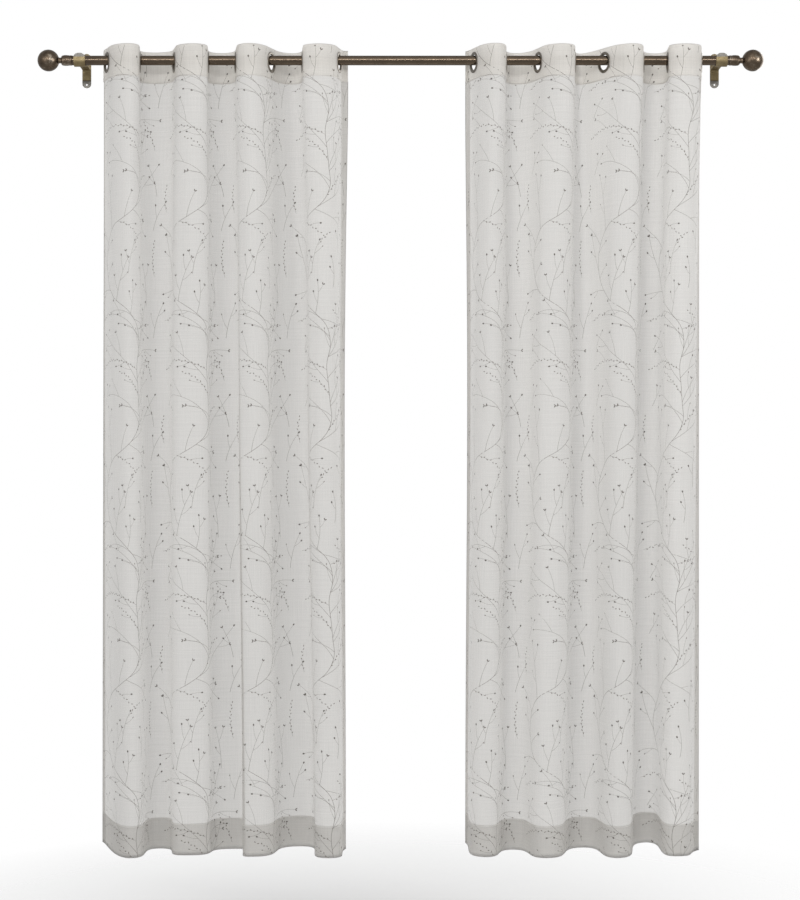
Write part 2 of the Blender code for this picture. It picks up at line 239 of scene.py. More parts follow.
# Twigs that leave the trunk.  Headings are degrees from straight up, positive to the right.
# columns: share of the way up the trunk, heading, length (m), turn (degrees), sprigs, ending
TWIGS = (
    (0.010, -38.0, 0.215, -30.0, 3, "bud"),
    (0.030, 34.0, 0.105, 56.0, 2, "bud"),
    (0.052, -60.0, 0.190, -56.0, 2, "beads"),
    (0.085, 12.0, 0.150, 20.0, 3, "pair"),
    (0.092, 38.0, 0.165, -24.0, 3, "bud"),
    (0.105, 60.0, 0.120, 38.0, 2, "pair"),
    (0.150, -30.0, 0.165, -66.0, 2, "bud"),
    (0.165, -44.0, 0.090, -46.0, 0, "bud"),
    (0.195, 70.0, 0.085, 18.0, 0, "beads"),
    (0.235, 102.0, 0.110, 22.0, 0, "bud"),
    (0.245, -50.0, 0.110, -60.0, 1, "pair"),
    (0.262, 18.0, 0.085, -26.0, 2, "bud"),
    (0.335, 8.0, 0.120, 22.0, 3, "pair"),
    (0.400, -78.0, 0.075, -30.0, 1, "bud"),
    (0.450, 40.0, 0.050, 20.0, 0, "pair"),
    (0.480, -30.0, 0.105, 20.0, 1, "bud"),
    (0.545, 52.0, 0.048, 10.0, 0, "bud"),
    (0.580, -42.0, 0.085, -12.0, 1, "pair"),
    (0.640, -4.0, 0.150, -16.0, 2, "bud"),
    (0.680, 100.0, 0.085, 34.0, 1, "beads"),
    (0.710, 8.0, 0.070, 20.0, 0, "pair"),
    (0.745, 110.0, 0.120, 20.0, 1, "bud"),
    (0.765, 62.0, 0.190, -26.0, 2, "bud"),
    (0.800, 28.0, 0.100, 34.0, 1, "beads"),
    (0.845, -26.0, 0.175, -74.0, 2, "bud"),
    (0.870, -46.0, 0.085, -48.0, 0, "pair"),
    (0.910, 46.0, 0.140, -34.0, 3, "bud"),
    (0.930, 18.0, 0.095, 30.0, 1, "pair"),
    (0.960, -24.0, 0.100, -50.0, 1, "beads"),
)
# Loose sprigs between the twigs.
# columns: across (share), up (share), heading, length (m), turn (degrees), sprigs, ending
LOOSE_SPRIGS = (
    (0.940, 0.030, -14.0, 0.080, -22.0, 0, "beads"),
    (0.120, 0.165, 26.0, 0.060, 26.0, 0, "bud"),
    (0.960, 0.215, 6.0, 0.095, 22.0, 2, "bud"),
    (0.810, 0.285, -72.0, 0.048, 20.0, 0, "beads"),
    (0.060, 0.290, 80.0, 0.044, -16.0, 0, "beads"),
    (0.860, 0.350, 2.0, 0.110, -22.0, 2, "pair"),
    (0.680, 0.420, 14.0, 0.080, -34.0, 1, "bud"),
    (0.960, 0.480, -16.0, 0.095, 30.0, 0, "beads"),
    (0.500, 0.480, 4.0, 0.090, 24.0, 2, "bud"),
    (0.760, 0.570, -8.0, 0.105, 24.0, 2, "pair"),
    (0.560, 0.600, 34.0, 0.044, 20.0, 0, "beads"),
    (0.940, 0.680, 12.0, 0.085, 28.0, 1, "bud"),
    (0.060, 0.760, -18.0, 0.070, 34.0, 0, "beads"),
    (0.970, 0.830, -8.0, 0.085, -24.0, 1, "pair"),
    (0.120, 0.920, 24.0, 0.065, 30.0, 1, "bud"),
)

# What grows at the end of a twig.
# columns: turn from the twig (degrees), length (m), width (m), darkness of the ink
ENDINGS = {
    "bud": ((0.0, 0.0062, 0.0042, 1.0),),
    "pair": ((-40.0, 0.0068, 0.0031, 0.8), (34.0, 0.0060, 0.0029, 0.9)),
    "beads": ((0.0, 0.0052, 0.0026, 0.6),),
}
LEAF_SPACING = 0.009

# ---------------------------------------------------------------- turned and bent metal

NECK_RADIUS = 0.0085
NECK_LENGTH = 0.0077
COLLAR_LENGTH = 0.0285
# The collar's turned outline from the neck to the rod.
# columns: radius (m), distance from the neck (m)
COLLAR = (
    (0.0085, 0.0000),
    (0.0112, 0.0004),
    (0.0122, 0.0012),
    (0.0134, 0.0040),
    (0.0140, 0.0080),
    (0.0141, 0.0115),
    (0.0139, 0.0160),
    (0.0136, 0.0200),
    (0.0131, 0.0212),
    (0.0130, 0.0222),
    (0.0134, 0.0232),
    (0.0134, 0.0266),
    (0.0130, 0.0278),
)
# The eyelet's outline on one side, from the hole round the crown to the outer rim.
# columns: radius (m), height over the middle of the cloth (m)
EYELET_OUTLINE = (
    (0.0200, 0.0000),
    (0.0200, 0.0016),
    (0.0203, 0.0023),
    (0.0210, 0.0028),
    (0.0222, 0.0031),
    (0.0240, 0.0031),
    (0.0258, 0.0028),
    (0.0271, 0.0023),
    (0.0278, 0.0018),
    (0.0280, 0.0014),
    (0.0277, 0.00125),
    (0.0216, 0.00125),
    (0.0215, 0.0000),
)
STRAP_THICK = 0.0030
CRADLE_HALF_WIDTH = 0.0150
ARM_HALF_WIDTH = 0.0110
SCREW_HOLE_RADIUS = 0.0025
SCREW_INSET = 0.009


# ---------------------------------------------------------------- the stage

# A shade to the left of the rod's middle
CAMERA_ALONG = -0.0016
FLOOR_RADIUS = 3.0
# Lights hang at a place measured from the rod's middle and aim at a height below it.
# columns: name, place (m), height of the aim (m), size (m)
LIGHTS = (
    ("key", (4.3, -2.9, 0.2), -0.9, (1.8, 1.8)),
    ("fill", (-3.2, -3.2, 0.0), -0.9, (2.4, 2.4)),
    ("top", (0.0, -2.4, 1.9), -0.9, (2.4, 2.4)),
    ("back", (2.4, 1.92, 0.1), -0.9, (2.4, 2.4)),
    ("strip", (0.0, -3.4, 0.75), 0.0, (4.4, 0.3)),
)

# ---------------------------------------------------------------- what a user may change

def a_length(name, description, default, low, high):
    return FloatProperty(name=name, description=description, default=default, min=low,
                         max=high, precision=4, unit="LENGTH")


def a_share(name, description, default):
    return FloatProperty(name=name, description=description, default=default, min=0.1,
                         max=1.0, subtype="FACTOR")


def a_count(name, description, default, low, high):
    return IntProperty(name=name, description=description, default=default, min=low, max=high)


def a_colour(name, description, default):
    return FloatVectorProperty(name=name, description=description, default=default, min=0.0,
                               max=1.0, subtype="COLOR", size=3)


def a_power(name, where, default):
    return FloatProperty(name=name, description=f"Power of the light {where}, in watts",
                         default=default, min=0.0, max=2000.0)


class CurtainClothSettings(bpy.types.PropertyGroup):
    """Sizes and colours of the cloth and of what is sewn or printed on it."""

    hem_depth: a_length("Bottom hem", "Depth of the hem turned up behind the cloth",
                        0.083, 0.02, 0.2)
    side_hem: a_length("Side hems", "Width turned in along each side edge", 0.025, 0.005, 0.06)
    columns: a_count("Columns", "Facets across one panel", 300, 60, 400)
    rows: a_count("Rows", "Facets down one panel", 170, 40, 240)
    opacity: a_share("Opacity", "How much one layer of voile hides", 0.65)
    shade: a_share("Shade", "How much light gets between the threads of one layer", 0.74)
    thread_pitch: a_length("Thread pitch", "Distance from one thread to the next",
                           0.00045, 0.0001, 0.002)
    voile_colour: a_colour("Voile", "Colour of the threads", (0.78, 0.762, 0.732))
    repeat_width: a_length("Print repeat across", "Width of one repeat of the twig print",
                           0.343, 0.1, 0.7)
    repeat_height: a_length("Print repeat down", "Height of one repeat of the twig print",
                            0.617, 0.1, 1.2)
    stem_width: a_length("Stem width", "Width of the printed trunk", 0.0011, 0.0003, 0.006)
    ink_pale: a_colour("Pale ink", "Colour of the fine twigs", (0.34, 0.312, 0.28))
    ink_dark: a_colour("Dark ink", "Colour of the buds", (0.115, 0.102, 0.09))
    stitch_length: a_length("Stitch length", "Distance from one stitch to the next",
                            0.0032, 0.0015, 0.008)


class CurtainMetalSettings(bpy.types.PropertyGroup):
    """Colours and fineness of the rod, its finials, the brackets and the eyelets."""

    round_steps: a_count("Round steps", "Facets round a turned piece", 64, 16, 128)
    aged_brass: a_colour("Aged brass", "Rod and finials", (0.20, 0.155, 0.112))
    bracket_brass: a_colour("Bracket brass", "Straps and wall plates", (0.38, 0.31, 0.175))
    aged_nickel: a_colour("Aged nickel", "Eyelet rings", (0.36, 0.33, 0.29))


class CurtainStageSettings(bpy.types.PropertyGroup):
    """Camera, lights and floor."""

    lens: FloatProperty(
        name="Lens", description="Focal length in millimetres on a 36 mm sensor",
        default=82.72, min=20.0, max=200.0)
    distance: a_length("Distance", "From the rod's axis to the camera", 5.49, 2.0, 12.0)
    height: a_length("Height", "Camera height from the rod's axis, down is negative",
                     -1.034, -3.0, 2.0)
    floor_drop: a_length("Floor drop", "How far the floor lies below the hem", 0.25, 0.005, 1.0)
    floor_colour: a_colour("Floor", "Colour of the floor", (0.88, 0.88, 0.88))
    key_power: a_power("Key light", "at the front right", 74.0)
    fill_power: a_power("Fill light", "at the front left", 34.0)
    top_power: a_power("Top light", "above the front", 12.0)
    back_power: a_power("Back light", "behind the curtain, to its right", 46.0)
    strip_power: a_power("Strip light", "that is long and lines the rod", 50.0)
    room_light: FloatProperty(
        name="Room light", description="Even light from all round",
        default=0.50, min=0.0, max=5.0)


# ---------------------------------------------------------------- mesh helpers

def new_piece(name, shape, smooth=True):
    """A new object at the origin, made from the bmesh shape, which is freed."""
    mesh = bpy.data.meshes.new(name)
    shape.to_mesh(mesh)
    shape.free()
    if smooth:
        mesh.shade_smooth()
    piece = bpy.data.objects.new(name, mesh)
    bpy.context.scene.collection.objects.link(piece)
    return piece


def dress(piece, material, stands_for=()):
    """Gives a piece its finish, its place in the frame and the CAD nodes it stands for."""
    piece.data.materials.clear()
    piece.data.materials.append(material)
    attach(piece, "root")
    if stands_for:
        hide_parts(*stands_for)
    return piece


def laid_grid(across, down):
    """A flat grid whose vertices lie at each pair of the given across and down values."""
    shape = bmesh.new()
    columns, rows = len(across) - 1, len(down) - 1
    bmesh.ops.create_grid(shape, x_segments=columns, y_segments=rows, size=1.0)
    for vertex in shape.verts:
        column = round((vertex.co.x + 1.0) * 0.5 * columns)
        row = round((1.0 - vertex.co.y) * 0.5 * rows)
        vertex.co = (across[column], down[row], 0.0)
    return shape


def mark_cloth_map(shape):
    """A UV map that holds each point's place on the flat cloth, in metres."""
    layer = shape.loops.layers.uv.new("cloth")
    for face in shape.faces:
        for loop in face.loops:
            loop[layer].uv = loop.vert.co.xy


def turned(profile, steps, closed):
    """A profile of (radius, height) points turned once round the Z axis."""
    shape = bmesh.new()
    corners = [shape.verts.new((radius, 0.0, height)) for radius, height in profile]
    edges = [shape.edges.new(pair) for pair in zip(corners, corners[1:])]
    if closed:
        edges.append(shape.edges.new((corners[-1], corners[0])))
    bmesh.ops.spin(shape, geom=corners + edges, cent=(0.0, 0.0, 0.0), axis=(0.0, 0.0, 1.0),
                   angle=2.0 * math.pi, steps=steps, use_merge=True)
    bmesh.ops.remove_doubles(shape, verts=shape.verts, dist=0.000001)
    bmesh.ops.recalc_face_normals(shape, faces=shape.faces)
    return shape


def soften(piece, width, segments):
    """Rounds a piece's sharp edges."""
    rounding = piece.modifiers.new("rounded edges", "BEVEL")
    rounding.width = width
    rounding.segments = segments
    rounding.limit_method = "ANGLE"
    rounding.angle_limit = math.radians(40.0)


def sharpen(piece, degrees):
    piece.data.set_sharp_from_angle(angle=math.radians(degrees))


# ---------------------------------------------------------------- how the cloth hangs

def lean_direction(lean):
    """The way from front to back along cloth that leans by the given degrees."""
    angle = math.radians(lean)
    return np.array((-math.sin(angle), math.cos(angle)))


def bezier(start, first, second, end, count):
    share = np.linspace(0.0, 1.0, count + 1)[:, None]
    rest = 1.0 - share
    return (rest ** 3 * start + 3.0 * rest ** 2 * share * first
            + 3.0 * rest * share ** 2 * second + share ** 3 * end)


def run_length(points):
    return float(np.sum(np.hypot(*np.diff(points, axis=0).T)))


def bend(start, leaving, end, arriving, length):
    """A smooth curve between two points and directions, with just the given length."""
    low, high = 0.0, 2.0 * length
    for _ in range(40):
        handle = 0.5 * (low + high)
        points = bezier(start, start + handle * leaving, end - handle * arriving, end, FINE_STEPS)
        if run_length(points) < length:
            low = handle
        else:
            high = handle
    return points


def edge_curl(point, direction, curl, length):
    """A free side edge that turns by curl degrees over its length."""
    points = [point]
    heading = math.atan2(direction[1], direction[0])
    for step in range(FINE_STEPS):
        angle = heading + math.radians(curl) * (step + 0.5) / FINE_STEPS
        stride = np.array((math.cos(angle), math.sin(angle))) * length / FINE_STEPS
        points.append(points[-1] + stride)
    return np.array(points)


def join_runs(runs):
    return np.vstack([runs[0]] + [run[1:] for run in runs[1:]])


def heading_section(eyelets, curls):
    """The cloth's line seen from above at the eyelets, from its left to its right edge."""
    centres = [np.array((along, ROD_Y)) for along, lean in eyelets]
    # the cloth comes forward through odd eyelets and goes back through even ones
    travel = []
    for number, (along, lean) in enumerate(eyelets):
        forward = -1.0 if number % 2 == 0 else 1.0
        travel.append(forward * lean_direction(lean))
    bend_length = EYELET_PITCH - 2.0 * FLAT_HALF
    edge_length = END_ALLOWANCE - FLAT_HALF
    first_edge = centres[0] - FLAT_HALF * travel[0]
    runs = [edge_curl(first_edge, -travel[0], curls[0], edge_length)[::-1]]
    for number in range(EYELETS):
        leaves = centres[number] + FLAT_HALF * travel[number]
        arrives = centres[number] - FLAT_HALF * travel[number]
        runs.append(np.array((arrives, leaves)))
        if number + 1 < EYELETS:
            following = centres[number + 1] - FLAT_HALF * travel[number + 1]
            runs.append(bend(leaves, travel[number], following, travel[number + 1], bend_length))
        else:
            runs.append(edge_curl(leaves, travel[number], curls[1], edge_length))
    return join_runs(runs)


def hem_section(turns):
    """The cloth's line seen from above at the hem, through the turns of its folds."""
    along = np.array((1.0, 0.0))
    runs = []
    for first, second in zip(turns, turns[1:]):
        start = np.array((first[0], ROD_Y + first[1]))
        end = np.array((second[0], ROD_Y + second[1]))
        leaving, arriving = along, along
        if first is turns[0]:
            leaving = (end - start) / np.linalg.norm(end - start)
        if second is turns[-1]:
            arriving = (end - start) / np.linalg.norm(end - start)
        runs.append(bend(start, leaving, end, arriving, second[2]))
    return join_runs(runs)


def smooth_through(x, places, values):
    """A smooth curve through a short table of rising places, read at x."""
    places, values = np.asarray(places, float), np.asarray(values, float)
    slopes = np.gradient(values, places)
    index = np.clip(np.searchsorted(places, x) - 1, 0, len(places) - 2)
    span = places[index + 1] - places[index]
    share = np.clip((x - places[index]) / span, 0.0, 1.0)
    start, end = values[index], values[index + 1]
    leave, arrive = slopes[index] * span, slopes[index + 1] * span
    return (start * (1 + 2 * share) * (1 - share) ** 2 + leave * share * (1 - share) ** 2
            + end * share ** 2 * (3 - 2 * share) - arrive * share ** 2 * (1 - share))


class HungCloth:
    """One panel with its heading, which can say where any point of the flat cloth hangs."""

    def __init__(self, side):
        left = side == "left"
        self.eyelets = EYELETS_LEFT if left else EYELETS_RIGHT
        self.outward = -1.0 if left else 1.0
        self.creases = CREASES_LEFT if left else CREASES_RIGHT
        turns = HEM_LEFT if left else HEM_RIGHT
        curls = CURL_LEFT if left else CURL_RIGHT
        self.top, self.top_travelled = self.measured(heading_section(self.eyelets, curls))
        self.hem, self.hem_travelled = self.measured(hem_section(turns))
        lift_at = np.cumsum([row[2] for row in turns])
        self.lift_at = lift_at * CLOTH_WIDTH / lift_at[-1]
        self.lift = [row[3] for row in turns]

    @staticmethod
    def measured(section):
        travelled = np.concatenate(((0.0,), np.cumsum(np.hypot(*np.diff(section, axis=0).T))))
        return section, travelled * CLOTH_WIDTH / travelled[-1]

    def base(self, across, down):
        """Points of the cloth's middle surface without its small creases."""
        panel_top = HEADING_DEPTH + GAP
        share = np.clip((down - panel_top) / (CLOTH_FALL - panel_top), 0.0, 1.0)
        levels = np.array(LEVELS)
        hem_share = smooth_through(share, levels[:, 0], levels[:, 1])
        draw = smooth_through(share, levels[:, 0], levels[:, 2])
        inward = across / CLOTH_WIDTH
        if self.outward > 0:
            inward = 1.0 - inward
        line = []
        for axis in (0, 1):
            top = np.interp(across, self.top_travelled, self.top[:, axis])
            hem = np.interp(across, self.hem_travelled, self.hem[:, axis])
            line.append((1.0 - hem_share) * top + hem_share * hem)
        lift = np.interp(across, self.lift_at, self.lift)
        return np.column_stack((line[0] + self.outward * draw * inward, line[1],
                                HEADING_TOP - down + lift * share ** 2))

    def facing(self, across, down):
        """Unit vectors square to the cloth, on the side that faces the room."""
        step = 0.004
        right = (self.base(np.minimum(across + step, CLOTH_WIDTH), down)
                 - self.base(np.maximum(across - step, 0.0), down))
        below = (self.base(across, np.minimum(down + step, CLOTH_FALL))
                 - self.base(across, np.maximum(down - step, 0.0)))
        square = np.cross(below, right)
        return square / np.linalg.norm(square, axis=1)[:, None]

    def crease_height(self, across, down):
        height = np.zeros(len(across))
        for middle, shift, top, bottom, half_width, rise in self.creases:
            along = np.clip((down - top) / (bottom - top), 0.0, 1.0)
            away = (across - middle - shift * along) / half_width
            height += rise * np.sin(math.pi * along) ** 2 * np.exp(-away ** 2)
        return height

    def hang(self, across, down, raised):
        """Where points of the flat cloth come to hang, raised off its middle surface."""
        off = raised + self.crease_height(across, down)
        return self.base(across, down) + off[:, None] * self.facing(across, down)

    def hang_mesh(self, mesh):
        """Carries a mesh from the flat cloth to the hung one."""
        flat = np.empty(len(mesh.vertices) * 3)
        mesh.vertices.foreach_get("co", flat)
        across, down, raised = flat.reshape(-1, 3).T
        mesh.vertices.foreach_set("co", self.hang(across, down, raised).ravel())
        mesh.update()


def turn_in(shape, settings):
    """Turns the side hems and the bottom hem behind the flat cloth."""
    for vertex in shape.verts:
        across, down = vertex.co.x, vertex.co.y
        beyond_side = max(-across, across - CLOTH_WIDTH, 0.0)
        within_side = min(across, CLOTH_WIDTH - across) < settings.side_hem + LAYER_GAP
        beyond_hem = down > CLOTH_FALL
        layers = 0
        if beyond_side > 0.0:
            across = beyond_side if across < 0.0 else CLOTH_WIDTH - beyond_side
            layers = 1
        if beyond_hem:
            down = 2.0 * CLOTH_FALL - down
            if beyond_side > 0.0:
                layers = 2
            else:
                layers = 3 if within_side else 1
        vertex.co = (across, down, -LAYER_GAP * layers)


# ---------------------------------------------------------------- the print's drawing

def drawn_curve(root, heading, length, turn, steps):
    """Points of an arc that leaves root at a heading and turns by the given degrees."""
    points = [np.array(root, float)]
    for step in range(steps):
        angle = math.radians(heading + turn * (step + 0.5) / steps)
        points.append(points[-1] + np.array((math.sin(angle), math.cos(angle))) * length / steps)
    return np.array(points)


def heading_at(points, index):
    """The heading of a drawn curve at one of its points, in degrees from straight up."""
    before, after = points[max(index - 1, 0)], points[min(index + 1, len(points) - 1)]
    return math.degrees(math.atan2(after[0] - before[0], after[1] - before[1]))


class TwigPrint:
    """One repeat of the print as a flat mesh, in (across, up) from its lower left corner."""

    def __init__(self, settings):
        self.width = settings.repeat_width
        self.height = settings.repeat_height
        self.stem = settings.stem_width
        self.shape = bmesh.new()
        self.ink = self.shape.verts.layers.float.new("ink")
        self.draw_trunk()
        for across, up, heading, length, turn, sprigs, ending in LOOSE_SPRIGS:
            root = (across * self.width, up * self.height)
            self.draw_twig(root, heading, length, turn, sprigs, ending, 0.45)

    def ribbon(self, points, start_width, end_width, tone):
        """A flat strip along the points that tapers from its start to its end."""
        count = len(points)
        along = np.gradient(points, axis=0)
        along /= np.linalg.norm(along, axis=1)[:, None]
        side = np.column_stack((along[:, 1], -along[:, 0]))
        half = 0.5 * np.linspace(start_width, end_width, count)
        made = bmesh.ops.create_grid(self.shape, x_segments=count - 1, y_segments=1, size=1.0)
        for vertex in made["verts"]:
            index = round((vertex.co.x + 1.0) * 0.5 * (count - 1))
            place = points[index] + side[index] * half[index] * math.copysign(1.0, -vertex.co.y)
            vertex.co = (place[0], place[1], 0.0)
            vertex[self.ink] = tone

    def leaf(self, place, heading, length, width, tone):
        """A small oval that grows from its place along a heading."""
        made = bmesh.ops.create_circle(self.shape, cap_ends=True, segments=8, radius=0.5)
        angle = math.radians(heading)
        middle = Vector((place[0] + 0.5 * length * math.sin(angle),
                         place[1] + 0.5 * length * math.cos(angle), 0.0))
        grown = (Matrix.Translation(middle) @ Matrix.Rotation(-angle, 4, "Z")
                 @ Matrix.Diagonal((width, length, 1.0, 1.0)))
        bmesh.ops.transform(self.shape, matrix=grown, verts=made["verts"])
        for vertex in made["verts"]:
            vertex[self.ink] = tone

    def end_twig(self, points, ending):
        tip, heading = points[-1], heading_at(points, len(points) - 1)
        for turn, length, width, tone in ENDINGS[ending]:
            self.leaf(tip, heading + turn, length, width, tone)

    def draw_twig(self, root, heading, length, turn, sprigs, ending, tone):
        steps = max(4, round(length / LEAF_SPACING))
        points = drawn_curve(root, heading, length, turn, steps)
        if ending == "beads":
            for index in range(1, steps):
                lean = 34.0 if index % 2 else -30.0
                self.leaf(points[index], heading_at(points, index) + lean, 0.0056, 0.0024,
                          0.5 + 0.4 * (index % 3 == 0))
            self.ribbon(points[:steps // 2 + 1], 0.66 * self.stem, 0.40 * self.stem, tone)
        else:
            self.ribbon(points, 0.84 * self.stem, 0.50 * self.stem, tone)
        for number in range(sprigs):
            index = round(steps * (number + 0.9) / (sprigs + 1))
            leaving = heading_at(points, index)
            # those on the upper side stand up longer than those below hang
            side = 1.0 if number % 2 else -1.0
            rises = side * leaving < 0.0
            reach = 0.010 + (0.24 if rises else 0.12) * length + 0.003 * ((number + steps) % 3)
            sprig = drawn_curve(points[index], leaving + 46.0 * side, reach, -24.0 * side, 4)
            self.ribbon(sprig, 0.62 * self.stem, 0.42 * self.stem, tone)
            self.end_twig(sprig, tuple(ENDINGS)[(number + steps) % 3])
        self.end_twig(points, ending)

    def draw_trunk(self):
        shares = np.array(TRUNK)
        knots = shares * (self.width, self.height)
        # the trunk carries on into the repeats above and below
        period = np.array((0.0, self.height))
        around = np.vstack((knots[-2] - period, knots, knots[1] + period))
        places = np.arange(len(around)) - 1.0
        fine = np.linspace(0.0, len(knots) - 1.0, 72)
        points = np.column_stack([smooth_through(fine, places, around[:, axis])
                                  for axis in (0, 1)])
        self.ribbon(points, self.stem, self.stem, 0.55)
        for share, heading, length, turn, sprigs, ending in TWIGS:
            root = points[round(share * (len(points) - 1))]
            self.draw_twig(root, heading, length, turn, sprigs, ending, 0.5)

    def to_mesh(self):
        mesh = bpy.data.meshes.new("twig repeat")
        self.shape.to_mesh(mesh)
        self.shape.free()
        return mesh


def lay_repeats(tile, settings, low, high):
    """Repeats of the print on the flat cloth, cut off at the low and high corners."""
    shape = bmesh.new()
    shape.verts.layers.float.new("ink")
    across_count = math.ceil(CLOTH_WIDTH / settings.repeat_width) + 1
    first = math.floor((CLOTH_FALL - high[1]) / settings.repeat_height)
    last = math.ceil((CLOTH_FALL - low[1]) / settings.repeat_height)
    for column in range(-1, across_count):
        for row in range(first - 1, last + 1):
            known = len(shape.verts)
            shape.from_mesh(tile)
            shape.verts.ensure_lookup_table()
            for vertex in shape.verts[known:]:
                across = column * settings.repeat_width + vertex.co.x
                up = row * settings.repeat_height + vertex.co.y
                vertex.co = (across, CLOTH_FALL - up, 0.0)
    for plane, point, outward in (
            ((1.0, 0.0, 0.0), high, 1.0), ((-1.0, 0.0, 0.0), low, 1.0),
            ((0.0, 1.0, 0.0), high, 1.0), ((0.0, -1.0, 0.0), low, 1.0)):
        geometry = shape.verts[:] + shape.edges[:] + shape.faces[:]
        bmesh.ops.bisect_plane(shape, geom=geometry, plane_co=(point[0], point[1], 0.0),
                               plane_no=plane, clear_outer=True)
    return shape


# ---------------------------------------------------------------- metal outlines

def arc_points(centre, radius, start, sweep, steps):
    """Points on an arc in (radius, height), angles in degrees from the outward direction."""
    points = []
    for step in range(steps + 1):
        angle = math.radians(start + sweep * step / steps)
        points.append((centre[0] + radius * math.cos(angle), centre[1] + radius * math.sin(angle)))
    return points


def finial_outline():
    """From the tip of the ball down to the collar's foot, heights from the rod's end."""
    reach = math.sqrt(BALL_RADIUS ** 2 - NECK_RADIUS ** 2)
    ball_centre = COLLAR_LENGTH + NECK_LENGTH + reach
    sweep = 90.0 + math.degrees(math.asin(reach / BALL_RADIUS))
    points = arc_points((0.0, ball_centre), BALL_RADIUS, 90.0, -sweep, 40)
    points[0] = (0.0, points[0][1])
    waist = 0.0010
    for share in (0.25, 0.5, 0.75):
        pinch = waist * math.sin(math.pi * share)
        points.append((NECK_RADIUS - pinch, COLLAR_LENGTH + NECK_LENGTH * (1.0 - share)))
    points += [(radius, COLLAR_LENGTH - below) for radius, below in COLLAR]
    points += [(0.0124, GAP), (0.0, GAP)]
    return points


def strap_rows():
    """The strap's middle line from the cradle's front tip to its foot on the wall plate.

    Each row is (behind the rod's axis, above the rod's axis, half the strap's width)."""
    radius = ROD_RADIUS + 3.0 * GAP + 0.5 * STRAP_THICK
    rows = []
    tip, tip_steps = 0.0175, 8
    for step in range(tip_steps + 1):
        angle = 0.5 * math.pi * step / tip_steps
        half = CRADLE_HALF_WIDTH * (0.12 + 0.88 * math.sin(angle))
        rows.append((-radius, tip - 0.0110 * (1.0 - math.cos(angle)), half))
    arc_steps = 28
    for step in range(arc_steps + 1):
        angle = math.pi + math.radians(165.0) * step / arc_steps
        rows.append((radius * math.cos(angle), radius * math.sin(angle), CRADLE_HALF_WIDTH))
    foot = -ROD_Y - PLATE_THICK - GAP - 0.5 * STRAP_THICK
    rows += [
        (0.0185, -0.0022, 0.0135),
        (0.0250, -0.0015, 0.0115),
        (0.0600, -0.0022, ARM_HALF_WIDTH),
        (foot - 0.0080, -0.0030, ARM_HALF_WIDTH),
        (foot - 0.0040, -0.0040, ARM_HALF_WIDTH),
        (foot - 0.0016, -0.0060, ARM_HALF_WIDTH),
        (foot - 0.0003, -0.0085, ARM_HALF_WIDTH),
        (foot, -0.0115, ARM_HALF_WIDTH),
        (foot, -0.0320, ARM_HALF_WIDTH),
    ]
    return rows


# ---------------------------------------------------------------- shader maths

class Wire:
    """One output socket of a material, with arithmetic that adds Math nodes."""

    def __init__(self, finish, socket):
        self.finish = finish
        self.socket = socket

    def math(self, operation, *others):
        return self.finish.node("ShaderNodeMath", {"operation": operation}, (self, *others))

    def __add__(self, other):
        return self.math("ADD", other)

    __radd__ = __add__

    def __sub__(self, other):
        return self.math("SUBTRACT", other)

    def __mul__(self, other):
        return self.math("MULTIPLY", other)

    def __truediv__(self, other):
        return self.math("DIVIDE", other)

    def __rsub__(self, other):
        return self.finish.node("ShaderNodeMath", {"operation": "SUBTRACT"}, (other, self))

    def limited(self, low, high):
        return self.math("MAXIMUM", low).math("MINIMUM", high)


class Finish:
    """A material in the making."""

    def __init__(self, name):
        self.material = bpy.data.materials.new(name)
        self.material.use_nodes = True
        self.tree = self.material.node_tree
        self.tree.nodes.clear()

    def node(self, kind, settings, values, output=0):
        """Adds a node, sets its settings, then the values or links of its sockets."""
        made = self.tree.nodes.new(kind)
        for name, value in settings.items():
            setattr(made, name, value)
        pairs = values.items() if isinstance(values, dict) else enumerate(values)
        for key, value in pairs:
            if isinstance(value, Wire):
                self.tree.links.new(value.socket, made.inputs[key])
            else:
                made.inputs[key].default_value = value
        return Wire(self, made.outputs[output])

    def place(self):
        """Object coordinates, which are metres in the curtain's own frame."""
        return self.node("ShaderNodeTexCoord", {}, {}, "Object")

    def cloth_place(self):
        """Metres on the flat cloth."""
        return self.node("ShaderNodeUVMap", {"uv_map": "cloth"}, {})

    def scaled(self, vector, factors):
        return self.node("ShaderNodeVectorMath", {"operation": "MULTIPLY"}, (vector, factors))

    def noise(self, vector, scale, detail, roughness=0.5):
        return self.node("ShaderNodeTexNoise", {},
                         {"Vector": vector, "Scale": scale, "Detail": detail,
                          "Roughness": roughness})

    def mixed(self, factor, first, second):
        values = {0: factor}
        for key, colour in ((6, first), (7, second)):
            values[key] = colour if isinstance(colour, Wire) else (*colour, 1.0)
        return self.node("ShaderNodeMix", {"data_type": "RGBA"}, values, 2)

    def bump(self, height, distance, strength=1.0):
        return self.node("ShaderNodeBump", {},
                         {"Height": height, "Distance": distance, "Strength": strength})

    def close(self, shader):
        surface = self.tree.nodes.new("ShaderNodeOutputMaterial").inputs["Surface"]
        self.tree.links.new(shader.socket, surface)
        return self.material


